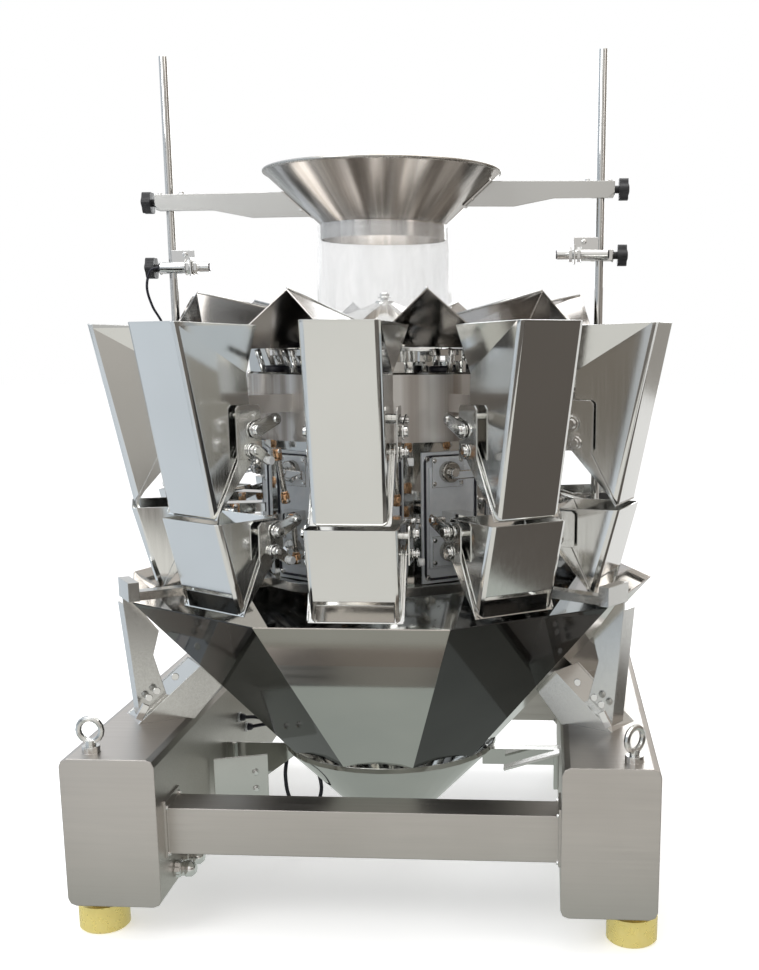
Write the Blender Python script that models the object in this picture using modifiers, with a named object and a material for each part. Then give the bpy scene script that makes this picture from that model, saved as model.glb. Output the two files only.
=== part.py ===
"""Ten-head multihead combination weigher, in metres, +Z up, front towards -Y, floor at z = 0.

Product drops through the infeed funnel onto the dispersion cone, travels out along ten radial pans into ten
feed hoppers, is weighed in the ten hoppers below them, and falls through the collating chute and the
collecting funnel. Everything on a head is modelled in the head's own axes, where X points outwards from the
machine's axis, Y runs along the ring and Z is up, and is then turned into its place on the ring.
"""

import math

import bmesh
import bpy
from mathutils import Matrix, Vector

# Driving dimensions
HEADS = 10
SHEET = 0.002
GAP = 0.0003
HOPPER_TOP_Z = 1.0635
HOPPER_RADIUS = 0.550
BEAM_BOTTOM_Z = 0.065
BEAM_TOP_Z = 0.335
BEAM_INNER_X = 0.347
BEAM_WIDTH = 0.166
FRAME_FRONT_Y = -0.480
FRAME_REAR_Y = 0.520
POST_X = 0.411
POST_RADIUS = 0.008
POST_TOP_Z = 1.555

# Feed hopper, in a head's axes: (distance from the machine's axis, height)
FEED_FRONT_FOOT = (0.487, 0.744)
FEED_BACK_FOOT = (0.400, 0.876)
FEED_BACK_SHOULDER = (0.408, 0.980)
FEED_HOOD_BACK = (0.405, 1.058)
FEED_HALF_WIDTH = 0.062
FEED_HOOD_HALF_WIDTH = 0.090
FEED_PIVOT = (0.409, 0.852)

# Weigh hopper
WEIGH_TOP_Z = 0.7335
WEIGH_RADIUS = 0.492
WEIGH_FRONT_FOOT = (0.4506, 0.575)
WEIGH_BACK_FOOT = (0.372, 0.705)
WEIGH_BACK_RADIUS = 0.362
WEIGH_HALF_WIDTH = 0.076
WEIGH_WINDOW_Z = 0.610
WEIGH_PIVOT = (0.3814, 0.6778)

# Gates
SHAFT_RADIUS = 0.0045
SHAFT_HOLE_RADIUS = 0.0051
GATE_CLEARANCE = 0.0035
CHEEK_RADIUS = 0.016
CHEEK_OFFSET = 0.005
HANGER_OFFSET = 0.0115

# Central body
DRUM_RADIUS = 0.268
DRUM_BOTTOM_Z = 0.856
DRUM_TOP_Z = 0.978
HOUSING_APOTHEM = 0.235
HOUSING_BOTTOM_Z = 0.575
COLLAR_RADIUS = 0.165
COLLAR_TOP_Z = 0.995

# Pans and cone
CONE_RADIUS = 0.122
CONE_EDGE_Z = 1.064
CONE_APEX_Z = 1.112
PAN_RIDGE_Z = 1.116
PAN_FLOOR_Z = 1.020
PAN_OUTER_RADIUS = 0.420
PAN_RIDGE_RADIUS = 0.378

# Chute: a funnel with one panel under each head, (distance from the axis to a panel, height)
CHUTE_TOP = (0.499, 0.573)
CHUTE_SEAM = (0.4296, 0.493)
CHUTE_BOTTOM = (0.2061, 0.235)

# Collecting funnel
COLLECTOR_RADIUS = 0.2165
COLLECTOR_TOP_Z = 0.2343
OUTLET_RADIUS = 0.080
OUTLET_TOP_Z = 0.085
OUTLET_BOTTOM_Z = 0.045

# Infeed funnel and sleeve
RIM_RADIUS = 0.222
RIM_Z = 1.346
NECK_RADIUS = 0.1194
NECK_TOP_Z = 1.2485
NECK_BOTTOM_Z = 1.2205
SLEEVE_RADIUS = 0.1275
SLEEVE_TOP_Z = 1.246
SLEEVE_BOTTOM_Z = 1.088
ARM_TOP_Z = 1.309
ARM_BOTTOM_Z = 1.264
ARM_END_BOTTOM_Z = 1.277
ARM_RIGHT_LIFT = 0.016
SENSOR_Z = 1.172
SENSOR_RIGHT_LIFT = 0.018

# Legs: each stands on a beam in an upright plane through the machine's axis
LEG_AZIMUTH = math.radians(57.6)
ARM_AZIMUTH = math.radians(54.0)
LEG_WIDTH = 0.085
LEG_SHEET = 0.004
UPRIGHT_RADIUS = 0.530
ARM_LEVEL_Z = 0.586
ARM_LEVEL_HEIGHT = 0.016
RING_RADIUS = 0.262

KNOB_RADIUS = 0.0215
KNOB_THICKNESS = 0.017

FOOT_RADIUS = 0.045
FOOT_X = 0.474
FOOT_INSET = 0.065

for old in list(bpy.data.objects):
    bpy.data.objects.remove(old, do_unlink=True)

machine = bpy.data.collections.new("multihead_weigher")
bpy.context.scene.collection.children.link(machine)


def material(name, colour, roughness, metallic, alpha=1.0):
    made = bpy.data.materials.new(name)
    made.use_nodes = True
    shader = made.node_tree.nodes["Principled BSDF"]
    shader.inputs["Base Color"].default_value = (*colour, 1.0)
    shader.inputs["Roughness"].default_value = roughness
    shader.inputs["Metallic"].default_value = metallic
    shader.inputs["Alpha"].default_value = alpha
    return made


POLISHED = material("polished_steel", (0.74, 0.73, 0.71), 0.08, 1.0)
SATIN = material("satin_steel", (0.60, 0.57, 0.53), 0.35, 1.0)
BRASS = material("zinc_yellow", (0.80, 0.66, 0.25), 0.35, 1.0)
KNOB_BLACK = material("knob_black", (0.02, 0.02, 0.022), 0.45, 0.0)
CABLE_BLACK = material("cable_black", (0.02, 0.02, 0.035), 0.5, 0.0)
CLEAR = material("clear_sleeve", (0.92, 0.93, 0.94), 0.1, 0.0, 0.25)
NICKEL = material("nickel", (0.70, 0.69, 0.67), 0.2, 1.0)


def add(name, mesh, matrix=Matrix.Identity(4)):
    made = bpy.data.objects.new(name, mesh)
    machine.objects.link(made)
    made.matrix_world = matrix
    return made


def baked(made):
    """Replaces an object's data by what its modifiers or its curve make of it."""
    bpy.context.view_layer.update()
    graph = bpy.context.evaluated_depsgraph_get()
    mesh = bpy.data.meshes.new_from_object(made.evaluated_get(graph))
    shape = bmesh.new()
    shape.from_mesh(mesh)
    shape.transform(made.matrix_world)
    bmesh.ops.remove_doubles(shape, verts=shape.verts, dist=1e-6)
    shape.to_mesh(mesh)
    shape.free()
    bpy.data.objects.remove(made, do_unlink=True)
    return add("solid", mesh)


def from_bmesh(shape):
    mesh = bpy.data.meshes.new("piece")
    shape.to_mesh(mesh)
    shape.free()
    return add("piece", mesh)


def block(centre, size, turn=0.0):
    shape = bmesh.new()
    placed = Matrix.Translation(centre) @ Matrix.Rotation(turn, 4, "Z") @ Matrix.Diagonal((*size, 1))
    bmesh.ops.create_cube(shape, size=1, matrix=placed)
    return from_bmesh(shape)


def rod(start, end, radius, sides=12, end_radius=None):
    """A round bar between two points."""
    start, end = Vector(start), Vector(end)
    along = end - start
    placed = Matrix.Translation((start + end) / 2) @ along.to_track_quat("Z", "Y").to_matrix().to_4x4()
    shape = bmesh.new()
    bmesh.ops.create_cone(
        shape,
        cap_ends=True,
        segments=sides,
        radius1=radius,
        radius2=radius if end_radius is None else end_radius,
        depth=along.length,
        matrix=placed,
    )
    return from_bmesh(shape)


def ring(centre, radius, wire_radius, turn, sides=16, wire_sides=8):
    """An upright ring, turned about the vertical."""
    shape = bmesh.new()
    placed = Matrix.Translation(centre) @ Matrix.Rotation(turn, 4, "Z") @ Matrix.Rotation(math.pi / 2, 4, "X")
    rows = []
    for i in range(sides):
        angle = math.tau * i / sides
        row = []
        for j in range(wire_sides):
            tilt = math.tau * j / wire_sides
            reach = radius + wire_radius * math.cos(tilt)
            at = Vector((reach * math.cos(angle), reach * math.sin(angle), wire_radius * math.sin(tilt)))
            row.append(shape.verts.new(placed @ at))
        rows.append(row)
    for i in range(sides):
        for j in range(wire_sides):
            after, beside = rows[(i + 1) % sides], (j + 1) % wire_sides
            shape.faces.new((rows[i][j], after[j], after[beside], rows[i][beside]))
    bmesh.ops.recalc_face_normals(shape, faces=shape.faces)
    return from_bmesh(shape)


def slab(outline, thickness, offset=0.0):
    """A flat sheet with an outline of (X, Z) points, standing at Y = offset."""
    curve = bpy.data.curves.new("outline", "CURVE")
    curve.dimensions = "2D"
    curve.fill_mode = "BOTH"
    curve.extrude = thickness / 2
    spline = curve.splines.new("POLY")
    spline.points.add(len(outline) - 1)
    for point, (x, z) in zip(spline.points, outline):
        point.co = (x, z, 0, 1)
    spline.use_cyclic_u = True
    standing = Matrix.Translation((0, offset, 0)) @ Matrix.Rotation(math.pi / 2, 4, "X")
    return baked(add("slab", curve, standing))


def turned(profile, sides):
    """A profile of (radius, height) points turned about the machine's axis, closed unless it ends on the axis."""
    shape = bmesh.new()
    points = [shape.verts.new((radius, 0, height)) for radius, height in profile]
    ends = points[1:] if profile[0][0] == 0 else points[1:] + points[:1]
    for start, end in zip(points, ends):
        shape.edges.new((start, end))
    made = from_bmesh(shape)
    screw = made.modifiers.new("turn", "SCREW")
    screw.axis = "Z"
    screw.steps = sides
    screw.render_steps = sides
    screw.use_merge_vertices = True
    screw.merge_threshold = 1e-5
    screw.use_normal_calculate = True
    solid = baked(made)
    outwards(solid)
    return solid


def outwards(made):
    shape = bmesh.new()
    shape.from_mesh(made.data)
    bmesh.ops.recalc_face_normals(shape, faces=shape.faces)
    shape.to_mesh(made.data)
    shape.free()


def shell(rows, thickness, closed, open_spans=()):
    """A sheet lofted through rows of points. open_spans lists the (row, column) faces that are left out."""
    shape = bmesh.new()
    grid = [[shape.verts.new(point) for point in row] for row in rows]
    columns = len(rows[0])
    for i in range(len(rows) - 1):
        for j in range(columns if closed else columns - 1):
            if (i, j) in open_spans:
                continue
            beside = (j + 1) % columns
            shape.faces.new((grid[i][j], grid[i][beside], grid[i + 1][beside], grid[i + 1][j]))
    bmesh.ops.recalc_face_normals(shape, faces=shape.faces)
    made = from_bmesh(shape)
    solidify = made.modifiers.new("sheet", "SOLIDIFY")
    solidify.thickness = thickness
    solidify.offset = 0
    solidify.use_even_offset = True
    return baked(made)


def fused(name, pieces, finish, cutters=(), matrix=Matrix.Identity(4)):
    """One solid: the union of the pieces, less the cutters."""
    solid, *others = pieces
    outwards(solid)
    for operation, operands in (("UNION", others), ("DIFFERENCE", cutters)):
        for operand in operands:
            outwards(operand)
            boolean = solid.modifiers.new("join", "BOOLEAN")
            boolean.operation = operation
            boolean.solver = "EXACT"
            boolean.object = operand
            solid = baked(solid)
            bpy.data.objects.remove(operand, do_unlink=True)
    solid.name = name
    solid.data.name = name
    solid.data.materials.clear()
    solid.data.materials.append(finish)
    solid.data.shade_smooth()
    solid.data.set_sharp_from_angle(angle=math.radians(35))
    solid.matrix_world = matrix
    return solid


def at_azimuth(azimuth, radius, z):
    """A point on the ring, its azimuth measured from the front (-Y) towards +X."""
    return (radius * math.sin(azimuth), -radius * math.cos(azimuth), z)


def heading(azimuth):
    """Turns a head's axes so that X points at this azimuth."""
    return Matrix.Rotation(azimuth - math.pi / 2, 4, "Z")


def placed(pieces, azimuth):
    """Turns finished pieces to an azimuth about the machine's axis."""
    for piece in pieces:
        piece.data.transform(heading(azimuth) @ piece.matrix_world)
        piece.matrix_world = Matrix.Identity(4)
    return pieces


def copies(first, base, count, step):
    """The same solid on every head."""
    for i in range(count):
        name = f"{base}_{i + 1:02d}"
        target = first if i == 0 else add(name, first.data)
        target.name = name
        target.matrix_world = heading(step * i)


def along(start, end, distance, away=0.0):
    """The point this far along a line from start, and this far to its left."""
    run = (Vector(end) - Vector(start)).normalized()
    side = Vector((-run.y, run.x))
    return tuple(Vector(start) + run * distance + side * away)


# Hoppers


def hopper_row(front, back, half_front, half_back, corner=0.008):
    """Points round a hopper at one level, from the back's one end, round the two front corners, to the other."""
    outline = []
    for sign in (1, -1):
        corner_points = [
            (front[0] - corner, half_front, corner),
            (front[0] - corner * 0.3, half_front - corner * 0.3, corner * 0.3),
            (front[0], half_front - corner, 0),
        ]
        side = [(back[0], half_back, None)] + corner_points
        side = [(x, sign * y, x) for x, y, _ in side]
        outline += side if sign == 1 else side[::-1]
    depth = front[0] - back[0]
    rise = back[1] - front[1]
    return [(x, y, front[1] + rise * (front[0] - x) / depth) for x, y, _ in outline]


def hanger(pivot, back_x, half_width, below, above):
    """Two upright plates beside a hopper, on bosses, that carry the gate's shaft."""
    pieces = []
    for sign in (1, -1):
        y = sign * (half_width + HANGER_OFFSET)
        left, right = pivot[0] - 0.021, pivot[0] + 0.033
        outline = [
            (left, pivot[1] - below),
            (right, pivot[1] - below),
            (right, pivot[1] + above - 0.006),
            (right - 0.006, pivot[1] + above),
            (left + 0.006, pivot[1] + above),
            (left, pivot[1] + above - 0.006),
        ]
        pieces.append(slab(outline, 0.0025, y))
        boss_z = pivot[1] + above - 0.018
        pieces.append(rod((back_x, sign * half_width, boss_z), (back_x, y, boss_z), 0.006, 8))
    return pieces


def shaft_bore(pivot, half_width):
    reach = half_width + 2 * HANGER_OFFSET
    return rod((pivot[0], -reach, pivot[1]), (pivot[0], reach, pivot[1]), SHAFT_HOLE_RADIUS, 12)


def feed_hopper():
    half = FEED_HALF_WIDTH
    top = hopper_row((HOPPER_RADIUS, HOPPER_TOP_Z), FEED_HOOD_BACK, half, FEED_HOOD_HALF_WIDTH)
    fold = hopper_row((HOPPER_RADIUS - 0.001, HOPPER_TOP_Z - 0.003), FEED_BACK_SHOULDER, half, half)
    foot = hopper_row(FEED_FRONT_FOOT, FEED_BACK_FOOT, half, half)
    body = shell([top, fold, foot], SHEET, True, open_spans={(0, len(top) - 1)})
    tongue = slab([(0.3978, 0.857), (0.3998, 0.857), (0.4014, 0.879), (0.3994, 0.879)], 2 * half - 0.001)
    pieces = [body, tongue] + hanger(FEED_PIVOT, 0.425, half, 0.014, 0.076)
    return fused("feed_hopper", pieces, POLISHED, [shaft_bore(FEED_PIVOT, half)])


def weigh_hopper():
    half = WEIGH_HALF_WIDTH
    top = hopper_row((WEIGH_RADIUS, WEIGH_TOP_Z), (WEIGH_BACK_RADIUS, WEIGH_TOP_Z), half, half)
    foot = hopper_row(WEIGH_FRONT_FOOT, WEIGH_BACK_FOOT, half, half)
    body = shell([top, foot], SHEET, True)
    window_height = WEIGH_WINDOW_Z - WEIGH_FRONT_FOOT[1] + 0.02
    window = block(
        (WEIGH_FRONT_FOOT[0] + 0.01, 0, WEIGH_WINDOW_Z - window_height / 2), (0.05, 2 * half - 0.016, window_height)
    )
    tongue = slab([(0.3708, 0.684), (0.3728, 0.684), (0.3729, 0.7065), (0.3709, 0.7065)], 2 * half - 0.001)
    pieces = [body, tongue] + hanger(WEIGH_PIVOT, 0.400, half, 0.014, 0.052)
    return fused("weigh_hopper", pieces, POLISHED, [window, shaft_bore(WEIGH_PIVOT, half)])


def gate(name, pivot, front_foot, back_foot, half_width, lip_height):
    """A hopper's door: a sloping plate between two teardrop cheeks, on a shaft, with a lip along its tip."""
    length = (Vector(front_foot) - Vector(back_foot)).length
    plate_top = along(front_foot, back_foot, length - 0.023, GATE_CLEARANCE)
    plate_tip = along(front_foot, back_foot, -0.0025, GATE_CLEARANCE)
    door = [
        plate_tip,
        along(plate_tip, plate_top, 0, SHEET),
        along(plate_top, plate_tip, 0, -SHEET),
        plate_top,
    ]
    pieces = [slab(door, 2 * (half_width + CHEEK_OFFSET) - SHEET / 2)]
    towards_tip = math.atan2(plate_tip[1] - pivot[1], plate_tip[0] - pivot[0])
    cheek = [along(plate_tip, plate_top, 0.002, -0.002)]
    for i in range(7):
        angle = towards_tip + math.radians(80 + 200 * i / 6)
        cheek.append((pivot[0] + CHEEK_RADIUS * math.cos(angle), pivot[1] + CHEEK_RADIUS * math.sin(angle)))
    for sign in (1, -1):
        pieces.append(slab(cheek, SHEET, sign * (half_width + CHEEK_OFFSET)))
    reach = half_width + HANGER_OFFSET + 0.004
    pieces.append(rod((pivot[0], -reach, pivot[1]), (pivot[0], reach, pivot[1]), SHAFT_RADIUS, 10))
    if lip_height:
        slope = (HOPPER_RADIUS - FEED_FRONT_FOOT[0]) / (HOPPER_TOP_Z - FEED_FRONT_FOOT[1])
        base = along(plate_tip, plate_top, 0.003, 0.001)
        lip = [
            base,
            (base[0] + SHEET, base[1]),
            (base[0] + SHEET + slope * lip_height, base[1] + lip_height),
            (base[0] + slope * lip_height, base[1] + lip_height),
        ]
        pieces.append(slab(lip, 2 * (half_width - 0.0105)))
    return fused(name, pieces, POLISHED)


# Central body, pans and cone


def polygon(sides, apothem, z, start=0.5):
    """The corners of a regular polygon whose first side faces the front."""
    radius = apothem / math.cos(math.pi / sides)
    return [at_azimuth(math.tau * (i + start) / sides, radius, z) for i in range(sides)]


def prism(sides, apothem, bottom, top):
    shape = bmesh.new()
    rows = [[shape.verts.new(point) for point in polygon(sides, apothem, z)] for z in (bottom, top)]
    shape.faces.new(rows[0])
    shape.faces.new(rows[1])
    for i in range(sides):
        beside = (i + 1) % sides
        shape.faces.new((rows[0][i], rows[0][beside], rows[1][beside], rows[1][i]))
    bmesh.ops.recalc_face_normals(shape, faces=shape.faces)
    return from_bmesh(shape)


def central_body():
    drum = [
        (0.0, DRUM_BOTTOM_Z),
        (DRUM_RADIUS, DRUM_BOTTOM_Z),
        (DRUM_RADIUS, DRUM_TOP_Z - 0.004),
        (DRUM_RADIUS - 0.004, DRUM_TOP_Z),
        (COLLAR_RADIUS, DRUM_TOP_Z),
        (COLLAR_RADIUS, COLLAR_TOP_Z),
        (0.0, COLLAR_TOP_Z),
    ]
    pieces = [turned(drum, 30), prism(HEADS, HOUSING_APOTHEM, HOUSING_BOTTOM_Z, DRUM_BOTTOM_Z + 0.01)]
    stem_top = PAN_FLOOR_Z - 0.006
    pieces.append(rod((0, 0, COLLAR_TOP_Z - 0.01), (0, 0, stem_top), 0.06, 16))
    for i in range(HEADS):
        azimuth = math.tau * i / HEADS
        feed_bar = block((0.3274, 0, 0.925), (0.1466, 0.040, 0.032))
        weigh_bar = block((0.290, 0, 0.720), (0.138, 0.040, 0.018))
        pan_post = rod((0.140, 0, COLLAR_TOP_Z - 0.01), (0.140, 0, stem_top), 0.014, 8)
        pieces += placed([feed_bar, weigh_bar, pan_post], azimuth)
    for sign in (1, -1):
        for z in (0.640, 0.835):
            pieces.append(block((sign * (POST_X + 0.220) / 2, 0.001, z), (POST_X - 0.220, 0.028, 0.016)))
        pieces.append(rod((sign * POST_X, 0, 0.625), (sign * POST_X, 0, POST_TOP_Z), POST_RADIUS, 16))
    return fused("central_body", pieces, POLISHED)


def feeder_pans():
    """Ten V-shaped pans side by side, each ridge shared by two neighbours."""
    stations = (
        (0.085, PAN_FLOOR_Z + 0.004, 0.010, 0.085, PAN_FLOOR_Z + 0.012),
        (0.124, PAN_FLOOR_Z + 0.003, 0.012, 0.124, PAN_FLOOR_Z + 0.025),
        (0.134, PAN_FLOOR_Z + 0.003, 0.012, 0.134, PAN_FLOOR_Z + 0.051),
        (PAN_OUTER_RADIUS, PAN_FLOOR_Z, 0.022, PAN_RIDGE_RADIUS, PAN_RIDGE_Z),
    )
    rows = []
    for floor_radius, floor_z, half_floor, ridge_radius, ridge_z in stations:
        lean = math.atan2(half_floor, floor_radius)
        row = []
        for i in range(HEADS):
            centre = math.tau * i / HEADS
            row.append(at_azimuth(centre - lean, floor_radius, floor_z))
            row.append(at_azimuth(centre + lean, floor_radius, floor_z))
            row.append(at_azimuth(centre + math.pi / HEADS, ridge_radius, ridge_z))
        rows.append(row)
    return fused("feeder_pans", [shell(rows, SHEET, True)], POLISHED)


def dispersion_cone():
    profile = [
        (0.0, CONE_APEX_Z),
        (CONE_RADIUS, CONE_EDGE_Z),
        (CONE_RADIUS, CONE_EDGE_Z - 0.012),
        (CONE_RADIUS - 0.003, CONE_EDGE_Z - 0.012),
        (CONE_RADIUS - 0.003, CONE_EDGE_Z - 0.003),
        (0.0, CONE_APEX_Z - 0.006),
    ]
    stem = rod((0, 0, PAN_FLOOR_Z - 0.005), (0, 0, CONE_APEX_Z - 0.004), 0.018, 12)
    bolt = rod((0, 0, CONE_APEX_Z - 0.006), (0, 0, CONE_APEX_Z + 0.008), 0.008, 6)
    return fused("dispersion_cone", [turned(profile, 32), stem, bolt], POLISHED)


# Chute and collecting funnel


def collating_chute():
    rows = [polygon(HEADS, apothem, z) for apothem, z in (CHUTE_TOP, CHUTE_SEAM, CHUTE_BOTTOM)]
    mouth_radius = CHUTE_BOTTOM[0] / math.cos(math.pi / HEADS)
    mouth = rod((0, 0, CHUTE_BOTTOM[1] - 0.05), (0, 0, CHUTE_BOTTOM[1] + 0.06), mouth_radius, 4 * HEADS)
    return fused("collating_chute", [shell(rows, SHEET, True)], POLISHED, [mouth])


def collecting_funnel():
    wall = SHEET / math.sin(math.radians(55))
    profile = [
        (COLLECTOR_RADIUS, COLLECTOR_TOP_Z),
        (COLLECTOR_RADIUS, COLLECTOR_TOP_Z - 0.010),
        (OUTLET_RADIUS, OUTLET_TOP_Z),
        (OUTLET_RADIUS, OUTLET_BOTTOM_Z),
        (OUTLET_RADIUS - wall, OUTLET_BOTTOM_Z),
        (OUTLET_RADIUS - wall, OUTLET_TOP_Z + 0.001),
        (COLLECTOR_RADIUS - wall, COLLECTOR_TOP_Z - 0.008),
        (COLLECTOR_RADIUS - wall, COLLECTOR_TOP_Z),
    ]
    pieces = [turned(profile, 32)]
    end_x = BEAM_INNER_X - GAP
    trapezoid = [(-end_x, 0.100), (-0.3177, 0.100), (-0.190, 0.196), (-0.190, 0.2125), (-end_x, 0.2125)]
    pieces.append(slab(trapezoid, 0.003, 0.0))
    pieces.append(rod((-0.330, -0.004, 0.140), (-0.330, -0.004, 0.2125), 0.005, 8))
    pieces.append(block(((end_x + 0.190) / 2, 0, 0.196), (end_x - 0.190, 0.030, 0.033)))
    pieces.append(block((end_x - 0.005, 0, 0.170), (0.010, 0.036, 0.085)))
    return fused("collecting_funnel", pieces, POLISHED)


# Infeed


def infeed_funnel():
    wall = 0.002
    profile = [
        (RIM_RADIUS, RIM_Z),
        (RIM_RADIUS + 0.003, RIM_Z - 0.003),
        (RIM_RADIUS, RIM_Z - 0.006),
        (NECK_RADIUS, NECK_TOP_Z),
        (NECK_RADIUS, NECK_BOTTOM_Z),
        (NECK_RADIUS - wall, NECK_BOTTOM_Z),
        (NECK_RADIUS - wall, NECK_TOP_Z + 0.002),
        (RIM_RADIUS - 0.004, RIM_Z - 0.001),
    ]
    pieces = [turned(profile, 40)]
    cone_slope = (RIM_RADIUS - NECK_RADIUS) / (RIM_Z - 0.006 - NECK_TOP_Z)
    bores = []
    for sign, lift in ((1, ARM_RIGHT_LIFT), (-1, 0.0)):
        arm_top, arm_bottom, end_bottom = ARM_TOP_Z + lift, ARM_BOTTOM_Z + lift, ARM_END_BOTTOM_Z + lift
        top_reach = NECK_RADIUS + cone_slope * (arm_top - NECK_TOP_Z)
        bottom_reach = NECK_RADIUS + cone_slope * (arm_bottom - NECK_TOP_Z)
        outline = [
            (sign * (top_reach - 0.002), arm_top),
            (sign * (bottom_reach - 0.002), arm_bottom),
            (sign * 0.249, arm_bottom - 0.001),
            (sign * 0.324, end_bottom),
            (sign * (POST_X + 0.014), end_bottom),
            (sign * (POST_X + 0.026), end_bottom + 0.010),
            (sign * (POST_X + 0.026), arm_top - 0.002),
        ]
        pieces.append(slab(outline if sign == 1 else outline[::-1], 0.004, -0.0125))
        saddle = [
            (sign * (top_reach - 0.001), arm_top),
            (sign * (bottom_reach - 0.001), arm_bottom),
            (sign * (bottom_reach + 0.003), arm_bottom),
            (sign * (top_reach + 0.003), arm_top),
        ]
        pieces.append(slab(saddle if sign == 1 else saddle[::-1], 0.046, -0.003))
        clamp_z = (end_bottom + arm_top) / 2
        pieces.append(block((sign * (POST_X + 0.004), 0, clamp_z), (0.040, 0.028, 0.028)))
        bores.append(rod((sign * POST_X, 0, 1.2), (sign * POST_X, 0, 1.4), POST_RADIUS + 0.0006, 16))
    return fused("infeed_funnel", pieces, POLISHED, bores)


def clear_sleeve():
    profile = [
        (SLEEVE_RADIUS, SLEEVE_TOP_Z),
        (SLEEVE_RADIUS + 0.002, SLEEVE_BOTTOM_Z),
        (SLEEVE_RADIUS, SLEEVE_BOTTOM_Z),
        (NECK_RADIUS + 0.001, SLEEVE_TOP_Z - 0.02),
        (NECK_RADIUS + 0.001, SLEEVE_TOP_Z),
    ]
    profile[3] = (SLEEVE_RADIUS - 0.002, SLEEVE_TOP_Z - 0.02)
    profile[4] = (SLEEVE_RADIUS - 0.002, SLEEVE_TOP_Z)
    return fused("clear_sleeve", [turned(profile, 32)], CLEAR)


def sensor(name, sign, level):
    """A threaded barrel pointing at the sleeve, in a plate bracket clamped to a post."""
    clamp_x = sign * (POST_X + 0.004)
    pieces = [block((clamp_x, 0, level), (0.040, 0.028, 0.020))]
    plate_x = sign * (POST_X - 0.036)
    pieces.append(block((sign * (POST_X - 0.026), -0.017, level + 0.012), (0.046, 0.003, 0.040)))
    pieces.append(block((sign * (POST_X - 0.026), -0.008, level), (0.020, 0.018, 0.020)))
    pieces.append(block((plate_x - sign * 0.012, -0.034, level), (0.003, 0.036, 0.034)))
    barrel_y = -0.034
    pieces.append(
        rod((sign * (POST_X + 0.014), barrel_y, level), (sign * (POST_X - 0.080), barrel_y, level), 0.009, 16)
    )
    for nut_x in (POST_X - 0.040, POST_X - 0.055):
        start = (sign * (nut_x + 0.003), barrel_y, level)
        end = (sign * (nut_x - 0.003), barrel_y, level)
        pieces.append(rod(start, end, 0.0135, 6))
    bore = rod((sign * POST_X, 0, 1.1), (sign * POST_X, 0, 1.25), POST_RADIUS + 0.0006, 16)
    return fused(name, pieces, NICKEL, [bore])


def star_knob(name, x, z, sign):
    """A six-lobed clamping knob whose axis runs along X, with its stud towards the post."""
    outline = []
    for i in range(36):
        angle = math.tau * i / 36
        reach = KNOB_RADIUS - 0.0035 * (1 - math.cos(6 * angle)) / 2
        outline.append((reach * math.cos(angle), reach * math.sin(angle)))
    star = slab(outline, KNOB_THICKNESS)
    star.data.transform(Matrix.Translation((x + sign * KNOB_THICKNESS / 2, 0, z)) @ Matrix.Rotation(math.pi / 2, 4, "Z"))
    stud = rod((x + sign * 0.002, 0, z), (x - sign * 0.0095, 0, z), 0.007, 10)
    return fused(name, [star, stud], KNOB_BLACK)


# Base frame


def beam(sign):
    """A hollow-looking side beam with rounded long edges."""
    radius = 0.014
    left, right = BEAM_INNER_X, BEAM_INNER_X + BEAM_WIDTH
    outline = []
    corners = ((right, BEAM_BOTTOM_Z, -90), (right, BEAM_TOP_Z, 0), (left, BEAM_TOP_Z, 90), (left, BEAM_BOTTOM_Z, 180))
    for corner_x, corner_z, start in corners:
        centre_x = corner_x - radius if corner_x == right else corner_x + radius
        centre_z = corner_z - radius if corner_z == BEAM_TOP_Z else corner_z + radius
        for i in range(3):
            angle = math.radians(start + 45 * i)
            outline.append((sign * (centre_x + radius * math.cos(angle)), centre_z + radius * math.sin(angle)))
    centre_y = (FRAME_FRONT_Y + FRAME_REAR_Y) / 2
    return slab(outline[::sign], FRAME_REAR_Y - FRAME_FRONT_Y, centre_y)


def cross_beam(front_y):
    depth, bottom, top = 0.073, 0.147, 0.232
    centre_y = front_y + depth / 2
    reach = BEAM_INNER_X + 0.004
    pieces = [block((0, centre_y, (bottom + top) / 2), (2 * reach, depth, top - bottom))]
    for sign in (1, -1):
        flange_x = sign * (BEAM_INNER_X + 0.001)
        pieces.append(block((flange_x, centre_y, (bottom + top) / 2 + 0.004), (0.010, depth + 0.012, top - bottom + 0.02)))
    return pieces


def lifting_eye(x, y, turn):
    base = BEAM_TOP_Z
    return [
        rod((x, y, base - 0.004), (x, y, base + 0.012), 0.016, 12),
        rod((x, y, base + 0.010), (x, y, base + 0.022), 0.009, 10),
        ring((x, y, base + 0.040), 0.0205, 0.0055, turn),
    ]


def strip(start, end, inset, thickness):
    """The section of a flat sheet that runs from start to end, a little inside that line on its left."""
    return [
        along(start, end, inset, inset),
        along(end, start, inset, -inset),
        along(end, start, inset, -inset - thickness),
        along(start, end, inset, inset + thickness),
    ]


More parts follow.
